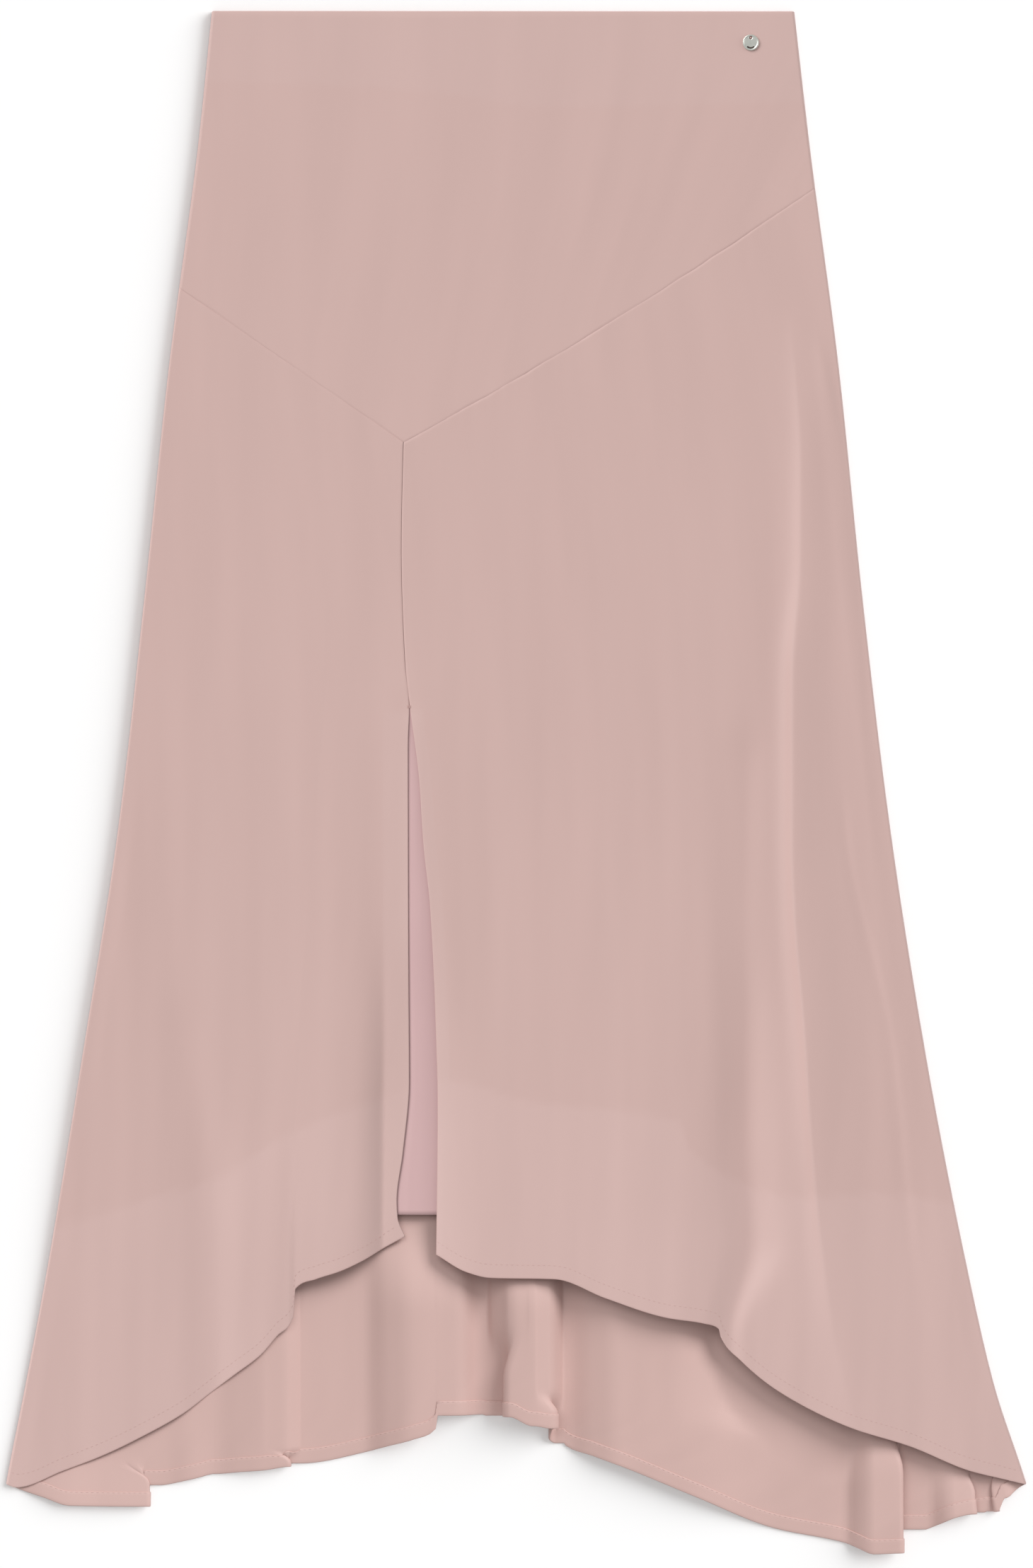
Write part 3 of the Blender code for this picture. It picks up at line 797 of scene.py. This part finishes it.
def sewn_yoke_points():
    """The front yoke, from the waist to the slanting seam."""
    share = np.linspace(0, 1, YOKE_COLUMNS)
    near_side = np.array(SIDE_STEPS) / (right_side(0.0) - left_side(0.0))
    share = np.sort(np.concatenate([share, near_side, 1 - near_side]))
    hem_drop = edge_drops(yoke_seam, left_side, right_side, share)
    at = (YOKE_POINT.x - left_side(YOKE_POINT.drop)) / (
        right_side(YOKE_POINT.drop) - left_side(YOKE_POINT.drop)
    )
    nearest = np.argmin(np.abs(share - at))
    share[nearest] = at
    hem_drop[nearest] = YOKE_POINT.drop
    from_seam = np.array(FROM_SEAM[::-1])[:, None]
    upper = mix(WAIST_DROP, hem_drop - from_seam[0], np.linspace(0, 1, YOKE_ROWS)[:-1, None])
    drop = np.concatenate([upper, hem_drop - from_seam])
    x = mix(left_side(drop), right_side(drop), share)
    return np.stack([x, LENGTH / 2 - drop, front_height(x, drop)], axis=-1)


def left_front_points():
    posts = flat_posts(LEFT_HEM_OUTER, LEFT_FRONT_FOLD.start)
    posts += fold_posts(LEFT_FRONT_FOLD)
    posts += flat_posts(LEFT_HEM_INNER, LEFT_FRONT_FOLD.start - RISE)
    hem, run = section(posts, HEM_SPACING, SIDE_STEPS, SEAM_STEPS)
    return panel(
        hem,
        run,
        left_side,
        lambda drop: read(LEFT_FRONT_EDGE, "x", drop),
        yoke_seam,
        front_height,
        FRONT_ROWS,
        FRONT_CROWDING,
    )


def right_front_points():
    hem, run = section(flat_posts(RIGHT_HEM), HEM_SPACING, SEAM_STEPS, SIDE_STEPS)
    return panel(
        hem,
        run,
        lambda drop: read(RIGHT_FRONT_EDGE, "x", drop),
        right_side,
        yoke_seam,
        front_height,
        FRONT_ROWS,
        FRONT_CROWDING,
    )


def back_points():
    posts = flat_posts(LEFT_HEM_OUTER[:1], BACK_FOLDS[0].start)
    for fold in BACK_FOLDS:
        posts += fold_posts(fold)
    posts += fold_posts(BACK_CORNER) + flat_posts(RIGHT_HEM[-1:], BACK_CORNER.start)
    hem, run = section(posts, BACK_SPACING, (), ())
    return panel(
        hem,
        run,
        lambda drop: left_side(drop) + SEAM_OVERHANG,
        lambda drop: right_side(drop) - SEAM_OVERHANG,
        lambda x: np.full_like(x, WAIST_DROP),
        back_height,
        BACK_ROWS,
        BACK_CROWDING,
    )


def lining_points():
    drop = np.linspace(LINING_TOP, LINING_HEM, LINING_ROWS)[:, None]
    left = read(LEFT_FRONT_EDGE, "x", drop) - LINING_MARGIN
    right = read(RIGHT_FRONT_EDGE, "x", drop) + LINING_MARGIN
    x = mix(left, right, np.linspace(0, 1, LINING_COLUMNS))
    drop = np.broadcast_to(drop, x.shape)
    beside = [front_form(read(edge, "x", drop), drop) for edge in (LEFT_FRONT_EDGE, RIGHT_FRONT_EDGE)]
    over = LINING_RISE * smooth((x - left) / (right - left))
    height = np.minimum(mix(*beside, over), front_form(x, drop)) - LINING_DEPTH
    return np.stack([x, LENGTH / 2 - drop, height], axis=-1)


# Materials
def add_node(tree, kind, **settings):
    made = tree.nodes.new("ShaderNode" + kind)
    for name, value in settings.items():
        setattr(made, name, value)
    return made


def feed(socket, value):
    """Sets an input, or links another node's output to it."""
    if isinstance(value, bpy.types.NodeSocket):
        socket.id_data.links.new(value, socket)
    else:
        socket.default_value = value


def put(node, **values):
    """Feeds a node's inputs by name, with _ for a space."""
    for name, value in values.items():
        feed(node.inputs[name.replace("_", " ")], value)


def number(tree, operation, *values):
    made = add_node(tree, "Math", operation=operation)
    for socket, value in zip(made.inputs, values):
        feed(socket, value)
    return made.outputs[0]


def blended(tree, share, a, b):
    """A colour between two."""
    made = add_node(tree, "Mix", data_type="RGBA")
    for socket, value in zip((made.inputs[0], made.inputs[6], made.inputs[7]), (share, a, b)):
        feed(socket, value)
    return made.outputs[2]


def attribute(tree, name):
    return add_node(tree, "Attribute", attribute_name=name).outputs["Fac"]


def new_material(name):
    made = bpy.data.materials.new(name)
    made.use_nodes = True
    return made, made.node_tree, made.node_tree.nodes["Principled BSDF"]


def cloth_material(name, plain, lined, doubled, grain_turn, roughness):
    """Crepe satin: a fine weave with a crepe grain, darker where it is doubled or over lining."""
    made, tree, shader = new_material(name)
    place = add_node(tree, "UVMap", uv_map="cloth")
    turned = add_node(tree, "Mapping")
    put(turned, Vector=place.outputs[0], Rotation=(0, 0, np.radians(grain_turn)))

    streaks = add_node(tree, "Mapping")
    put(streaks, Vector=place.outputs[0], Scale=(1 / 26, 1 / 190, 1))
    slow = add_node(tree, "TexNoise")
    put(slow, Vector=streaks.outputs[0], Scale=1.0, Detail=3.0, Roughness=0.45)
    lining_behind = blended(tree, attribute(tree, "lined"), plain, lined)
    layered = blended(tree, attribute(tree, "doubled"), lining_behind, doubled)
    shade = number(tree, "MULTIPLY_ADD", slow.outputs[0], 0.10, 0.95)
    tinted = add_node(tree, "VectorMath", operation="SCALE")
    tree.links.new(layered, tinted.inputs[0])
    tree.links.new(shade, tinted.inputs["Scale"])
    put(shader, Base_Color=tinted.outputs[0], Roughness=roughness)

    threads = []
    for direction in "XY":
        bands = add_node(tree, "TexWave", bands_direction=direction)
        put(bands, Vector=turned.outputs[0], Scale=0.85, Distortion=0.6, Detail=1.0)
        threads.append(bands.outputs["Fac"])
    grain = add_node(tree, "TexNoise")
    put(grain, Vector=turned.outputs[0], Scale=1.3, Detail=4.0, Roughness=0.6)
    woven = number(tree, "ADD", *threads)
    height = number(tree, "MULTIPLY_ADD", woven, 0.35, grain.outputs[0])
    bump = add_node(tree, "Bump")
    put(bump, Height=height, Strength=0.35, Distance=0.00006)
    put(shader, Normal=bump.outputs[0])
    shader.inputs["Specular IOR Level"].default_value = 0.35
    shader.inputs["Sheen Weight"].default_value = 0.18
    shader.inputs["Sheen Roughness"].default_value = 0.45
    shader.inputs["Sheen Tint"].default_value = (1.0, 0.86, 0.83, 1.0)
    return made


def thread_material():
    made, tree, shader = new_material("thread")
    place = add_node(tree, "TexCoord")
    strands = add_node(tree, "TexNoise")
    put(strands, Vector=place.outputs["Object"], Scale=4000.0, Detail=2.0)
    colour = blended(tree, strands.outputs[0], (0.48, 0.30, 0.275, 1.0), (0.60, 0.40, 0.37, 1.0))
    put(shader, Base_Color=colour, Roughness=0.55)
    shader.inputs["Sheen Weight"].default_value = 0.2
    return made


# Objects
def grid_mesh(name, points):
    """A mesh through a grid of points, and the row and column of each of its vertices."""
    rows, columns = points.shape[:2]
    grid = bmesh.new()
    bmesh.ops.create_grid(grid, x_segments=columns - 1, y_segments=rows - 1, size=1.0)
    mesh = bpy.data.meshes.new(name)
    grid.to_mesh(mesh)
    grid.free()
    place = np.empty(rows * columns * 3, np.float32)
    mesh.vertices.foreach_get("co", place)
    place = place.reshape(-1, 3)
    over = np.rint((place[:, 0] + 1) / 2 * (columns - 1)).astype(int)
    down = np.rint((1 - place[:, 1]) / 2 * (rows - 1)).astype(int)
    mesh.vertices.foreach_set("co", (points[down, over] * MM).astype(np.float32).ravel())
    return mesh, (down, over)


def cloth_coordinates(mesh, points, index):
    """A UV map in millimetres along the cloth."""
    sideways = np.linalg.norm(np.diff(points, axis=1), axis=-1)
    downwards = np.linalg.norm(np.diff(points, axis=0), axis=-1)
    u = np.pad(np.cumsum(sideways, axis=1), ((0, 0), (1, 0))) + points[:, :1, 0]
    v = -np.pad(np.cumsum(downwards, axis=0), ((1, 0), (0, 0))) + points[:1, :, 1]
    of_vertex = np.stack([u[index], v[index]], axis=-1)
    corner = np.empty(len(mesh.loops), np.int32)
    mesh.loops.foreach_get("vertex_index", corner)
    layer = mesh.uv_layers.new(name="cloth")
    layer.uv.foreach_set("vector", of_vertex[corner].astype(np.float32).ravel())


def paint(mesh, name, values, index):
    layer = mesh.attributes.new(name, "FLOAT", "POINT")
    layer.data.foreach_set("value", values[index].astype(np.float32))


def finish_piece(made, material, node=None):
    made.data.materials.append(material)
    bpy.context.scene.collection.objects.link(made)
    if node:
        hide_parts(node)
    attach(made, "root")
    return made


def cloth(name, points, wall, material, lined=None, doubled=None, node=None):
    mesh, index = grid_mesh(name, points)
    cloth_coordinates(mesh, points, index)
    blank = np.zeros(points.shape[:2])
    paint(mesh, "lined", blank if lined is None else lined, index)
    paint(mesh, "doubled", blank if doubled is None else doubled, index)
    mesh.shade_smooth()
    made = bpy.data.objects.new(name, mesh)
    thickness = made.modifiers.new("thickness", "SOLIDIFY")
    thickness.thickness = wall * MM
    thickness.offset = 0.0
    return finish_piece(made, material, node)


def drops(points):
    return LENGTH / 2 - points[..., 1]


def above(line, points, soft):
    """1 on the cloth above a line of places, where a hidden layer lies behind it, fading below."""
    return 1 - smooth((drops(points) - across(line, points[..., 0])) / soft)


def near_edge(points, width, edge):
    """1 on the cloth that lies over a facing beside an edge, fading at its inner side."""
    inside = np.abs(points[..., 0] - read(edge, "x", drops(points)))
    below = smooth((drops(points) - SLIT_TOP) / FACING_START)
    return below * (1 - smooth((inside - width) / FACING_FADE))


def smooth_mesh(name, made):
    bmesh.ops.recalc_face_normals(made, faces=made.faces)
    mesh = bpy.data.meshes.new(name)
    made.to_mesh(mesh)
    made.free()
    mesh.shade_smooth()
    return mesh


def join_rings(made, rings):
    """Faces between closed rings of points, in order, where a ring of one point is a tip."""
    rows = [[made.verts.new(place * MM) for place in ring] for ring in rings]
    for near, far in zip(rows, rows[1:]):
        for k in range(max(len(near), len(far))):
            after = k + 1
            corners = (
                near[k % len(near)],
                near[after % len(near)],
                far[after % len(far)],
                far[k % len(far)],
            )
            made.faces.new(list(dict.fromkeys(corners)))
    return rows


def stitch_line(name, places, out, material):
    """Short stitches along a line of points, each a spindle of thread that dips in at both ends."""
    step = np.linalg.norm(np.diff(places, axis=0), axis=-1)
    run = np.concatenate([[0.0], np.cumsum(step)])
    made = bmesh.new()
    turn = np.arange(THREAD_SIDES) * 2 * np.pi / THREAD_SIDES

    def along(table, at):
        return np.array([np.interp(at, run, table[:, i]) for i in range(3)])

    for start in np.arange(0.5, run[-1] - STITCH_PITCH, STITCH_PITCH):
        first, last = along(places, start), along(places, start + STITCH_LENGTH)
        up = along(out, start)
        up /= np.linalg.norm(up)
        ahead = (last - first) / np.linalg.norm(last - first)
        aside = np.cross(ahead, up)
        rings = []
        for share, width, rise in STITCH_PROFILE:
            middle = mix(first, last, share) + up * (rise * STITCH_RADIUS - STITCH_SINK)
            thick = STITCH_RADIUS * width
            ring = [middle + thick * (np.cos(t) * aside + np.sin(t) * up) for t in turn]
            rings.append(ring if width else [middle])
        join_rings(made, rings)
    return finish_piece(bpy.data.objects.new(name, smooth_mesh(name, made)), material)


def hem_stitches(name, points, inset, lift, material):
    """Stitches along a hem, this far in from its edge and lifted off the cloth."""
    line, above = (from_edge(points, [inset], lift + rise)[0] for rise in (0.0, 1.0))
    return stitch_line(name, line, above - line, material)


def ringed_mesh(name, rings):
    made = bmesh.new()
    join_rings(made, rings)
    return smooth_mesh(name, made)


def plaque_rings():
    """Rings of the plate from the wall of its hole over its face and round its rim."""
    turn = np.arange(PLAQUE_SIDES) * 2 * np.pi / PLAQUE_SIDES
    way = np.stack([np.cos(turn), np.sin(turn)], axis=-1)
    hole = np.array([0.0, PLAQUE_HOLE_OUT])
    inner = hole + PLAQUE_HOLE_RADIUS * way
    outer = (PLAQUE_RADIUS - PLAQUE_ROUND) * way
    rings = [np.column_stack([inner, np.full(PLAQUE_SIDES, z)]) for z in (0.0, PLAQUE_THICKNESS - 0.35)]
    for share in np.linspace(0, 1, 46):
        flat = mix(inner, outer, share)
        out = np.hypot(flat[:, 0], flat[:, 1])
        from_hole = np.hypot(flat[:, 0], flat[:, 1] - PLAQUE_HOLE_OUT) - PLAQUE_HOLE_RADIUS
        dish = PLAQUE_DISH * (1 - smooth((out - PLAQUE_RADIUS + PLAQUE_RIM + 0.2) / 0.4))
        edge = 0.12 * (1 - smooth(from_hole / 0.25))
        aside = np.abs(np.arctan2(flat[:, 0], -flat[:, 1]))
        past_end = np.maximum(aside - PLAQUE_SLOT_ANGLE, 0) * PLAQUE_SLOT_OUT
        from_slot = np.hypot(out - PLAQUE_SLOT_OUT, past_end)
        slot = PLAQUE_SLOT_DEPTH * (1 - smooth((from_slot - PLAQUE_SLOT_HALF + 0.12) / 0.24))
        rings.append(np.column_stack([flat, PLAQUE_THICKNESS - dish - edge - slot]))
    for angle in np.radians(np.linspace(15, 90, 6)):
        radius = PLAQUE_RADIUS - PLAQUE_ROUND * (1 - np.sin(angle))
        height = PLAQUE_THICKNESS - PLAQUE_ROUND * (1 - np.cos(angle))
        rings.append(np.column_stack([radius * way, np.full(PLAQUE_SIDES, height)]))
    for inset, height in ((0.0, 0.3), (0.25, 0.05), (0.6, 0.0)):
        rings.append(np.column_stack([(PLAQUE_RADIUS - inset) * way, np.full(PLAQUE_SIDES, height)]))
    return rings


def knot_rings():
    """Rings of the small knot of thread in the plate's hole."""
    turn = np.arange(KNOT_SIDES) * 2 * np.pi / KNOT_SIDES
    rings = []
    for lift in np.radians(np.linspace(-60, 88, 12)):
        ridged = KNOT_RADIUS * (1 + 0.06 * np.sin(6 * turn + 4 * lift)) * np.cos(lift)
        height = np.full(KNOT_SIDES, PLAQUE_THICKNESS - 0.45 + 0.45 * np.sin(lift))
        y = ridged * np.sin(turn) + PLAQUE_HOLE_OUT
        rings.append(np.column_stack([ridged * np.cos(turn), y, height]))
    return rings


def metal_material():
    """Brushed steel, with fine scratches across it, and painted shade down in the slot and the wall of
    the hole.
    """
    made, tree, shader = new_material("plaque_steel")
    place = add_node(tree, "TexCoord")
    scratches = add_node(tree, "Mapping")
    put(scratches, Vector=place.outputs["Object"], Scale=(900.0, 9000.0, 900.0))
    brushed = add_node(tree, "TexNoise")
    put(brushed, Vector=scratches.outputs[0], Scale=1.0, Detail=4.0)
    clouds = add_node(tree, "TexNoise")
    put(clouds, Vector=place.outputs["Object"], Scale=500.0, Detail=2.0)
    worn = blended(tree, clouds.outputs[0], (0.66, 0.68, 0.63, 1.0), (0.80, 0.82, 0.76, 1.0))
    # painted shade: the slot and the wall of the hole are coloured near black where they sink below the
    # face
    colour = blended(tree, attribute(tree, "sunken"), worn, (0.16, 0.12, 0.115, 1.0))
    rough = number(tree, "MULTIPLY_ADD", brushed.outputs[0], 0.16, 0.30)
    bump = add_node(tree, "Bump")
    put(bump, Height=brushed.outputs[0], Strength=0.25, Distance=0.00003)
    put(shader, Base_Color=colour, Roughness=rough, Normal=bump.outputs[0], Metallic=1.0)
    return made


def make_plaque(thread):
    foot = float(front_height(PLAQUE_X, PLAQUE_DROP)) + CLOTH_WALL / 2 + 0.05
    place = np.array([PLAQUE_X, LENGTH / 2 - PLAQUE_DROP, foot])
    rings = plaque_rings()
    mesh = ringed_mesh("plaque_plate", [ring + place for ring in rings])
    height = np.concatenate([ring[:, 2] for ring in rings])
    out = np.concatenate([np.hypot(ring[:, 0], ring[:, 1]) for ring in rings])
    deep = smooth((PLAQUE_THICKNESS - PLAQUE_DISH - 0.15 - height) / 0.3)
    # painted shade mask: the slot and the hole's wall, where the plate sinks below its face inside the
    # rim
    sunken = deep * (out < PLAQUE_RADIUS - PLAQUE_RIM + 0.1)
    paint(mesh, "sunken", sunken, slice(None))
    plate = bpy.data.objects.new("plaque_plate", mesh)
    finish_piece(plate, metal_material(), "plaque")
    knot = ringed_mesh("plaque_knot", [ring + place for ring in knot_rings()])
    finish_piece(bpy.data.objects.new("plaque_knot", knot), thread)


def tack_stitches(thread):
    """The bar tack: close stitches side by side across the top of the slit."""
    x = np.linspace(SLIT_TOP_X - TACK_HALF, SLIT_TOP_X + TACK_HALF, TACK_POINTS)
    arch = 0.12 * np.sin(np.linspace(0, np.pi, TACK_POINTS))
    turn = np.arange(THREAD_SIDES) * 2 * np.pi / THREAD_SIDES
    made = bmesh.new()
    for k in range(TACK_ROWS):
        drop = np.full(TACK_POINTS, SLIT_TOP - 1.2 + k * TACK_PITCH)
        height = front_height(x, drop) + CLOTH_WALL / 2 + arch
        row = np.column_stack([x, LENGTH / 2 - drop, height])
        rings = []
        for i, place in enumerate(row):
            thick = STITCH_RADIUS * (0.35 if i in (0, len(row) - 1) else 1.0)
            rings.append([place + thick * np.array([0.0, np.cos(t), np.sin(t)]) for t in turn])
        joined = join_rings(made, rings)
        made.faces.new(joined[0])
        made.faces.new(joined[-1])
    mesh = smooth_mesh("slit_bar_tack", made)
    finish_piece(bpy.data.objects.new("slit_bar_tack", mesh), thread)


# Finishes
PLAIN = (0.590, 0.413, 0.384, 1.0)
LINED = (0.572, 0.396, 0.366, 1.0)
DOUBLED = (0.580, 0.408, 0.380, 1.0)
INSIDE = (0.600, 0.410, 0.376, 1.0)
LINING_PINK = (0.612, 0.405, 0.405, 1.0)


def make_skirt():
    upper = cloth_material("crepe_yoke", PLAIN, LINED, DOUBLED, 8.0, 0.5)
    lower = cloth_material("crepe_bias", PLAIN, LINED, DOUBLED, 45.0, 0.5)
    inner = cloth_material("crepe_inside", INSIDE, INSIDE, DOUBLED, 45.0, 0.55)
    satin = cloth_material("lining_satin", LINING_PINK, LINING_PINK, LINING_PINK, 0.0, 0.42)
    thread = thread_material()

    back = back_points()
    turned_back = turned_in(back, HEM_TURN, 1)
    made_back = cloth("back_panel_cloth", turned_back, CLOTH_WALL, inner, node="back_panel")
    place = (HEM_TURN - 0.5, LAYER + CLOTH_WALL / 2)
    back_thread = hem_stitches("back_hem_stitches", back, *place, thread)

    yoke = sewn_yoke_points()
    flipped = turned_in(yoke[::-1], FACING_DEPTH, 1)[::-1]
    made_yoke = cloth(
        "front_yoke_cloth",
        flipped,
        CLOTH_WALL,
        upper,
        lined=np.ones(flipped.shape[:2]),
        doubled=above(FACING_SHADE, flipped, FACING_SHADE_SOFT) * 0.6,
        node="front_yoke",
    )

    panels = (
        ("front_left", left_front_points(), LEFT_FRONT_EDGE, SLIT_FACING_LEFT, (0.36, 0.72), 0.135),
        ("front_right", right_front_points(), RIGHT_FRONT_EDGE, SLIT_FACING_RIGHT, (0.46, 0.76), 0.21),
    )
    for name, points, edge, facing, flat, area in panels:
        turned = turned_in(points, HEM_TURN, -1)
        made = cloth(
            name + "_cloth",
            turned,
            CLOTH_WALL,
            lower,
            lined=above(LINING_SHADE, turned, LINING_SHADE_SOFT),
            doubled=near_edge(turned, facing, edge) * 0.5,
            node=name,
        )
        place = (HEM_TURN - 0.6, CLOTH_WALL / 2)
        stitches = hem_stitches(name + "_hem_stitches", points, *place, thread)

    lining = cloth("lining_cloth", lining_points(), LINING_WALL, satin, node="lining")
    make_plaque(thread)
    tack_stitches(thread)


def studio():
    """A white floor, soft lamps that each light the front, the back or the floor, and the camera."""
    bpy.ops.mesh.primitive_plane_add(size=FLOOR_SIZE, location=(0, 0, FLOOR_Z))
    floor = bpy.context.object
    floor.name = "floor"
    white, _, shader = new_material("floor_white")
    put(shader, Base_Color=(0.93, 0.93, 0.93, 1.0), Roughness=0.9, Specular_IOR_Level=0.0)
    floor.data.materials.append(white)

    pieces = [piece for piece in bpy.data.objects if piece.type == "MESH" and piece != floor]
    receivers = {
        "front": [piece for piece in pieces if not piece.name.startswith("back")],
        "back": [piece for piece in pieces if piece.name.startswith("back")],
        "floor": [floor],
    }
    lit = {}
    for what, things in receivers.items():
        lit[what] = bpy.data.collections.new(what + "_lit")
        for thing in things:
            lit[what].objects.link(thing)
    for lamp in LAMPS:
        light = bpy.data.lights.new(lamp.name, "SUN")
        light.energy = lamp.energy
        light.angle = np.radians(lamp.spread)
        holder = bpy.data.objects.new(lamp.name, light)
        holder.rotation_euler = Vector(lamp.towards).to_track_quat("Z", "Y").to_euler()
        holder.light_linking.receiver_collection = lit[lamp.lights]
        bpy.context.scene.collection.objects.link(holder)

    world = bpy.data.worlds.new("studio")
    world.use_nodes = True
    background = world.node_tree.nodes["Background"]
    background.inputs["Color"].default_value = (1.0, 0.99, 0.985, 1.0)
    background.inputs["Strength"].default_value = SKY_STRENGTH
    bpy.context.scene.world = world
    bpy.context.scene.view_settings.view_transform = "Standard"

    camera = bpy.data.cameras.new("camera")
    camera.sensor_width = SENSOR
    camera.lens = SENSOR * CAMERA_HEIGHT / PICTURE_HEIGHT
    camera.clip_end = 100.0
    seen_from = bpy.data.objects.new("camera", camera)
    seen_from.location = (0.0, -PICTURE_LOW * MM, CAMERA_HEIGHT * MM)
    bpy.context.scene.collection.objects.link(seen_from)
    bpy.context.scene.camera = seen_from


make_skirt()
studio()
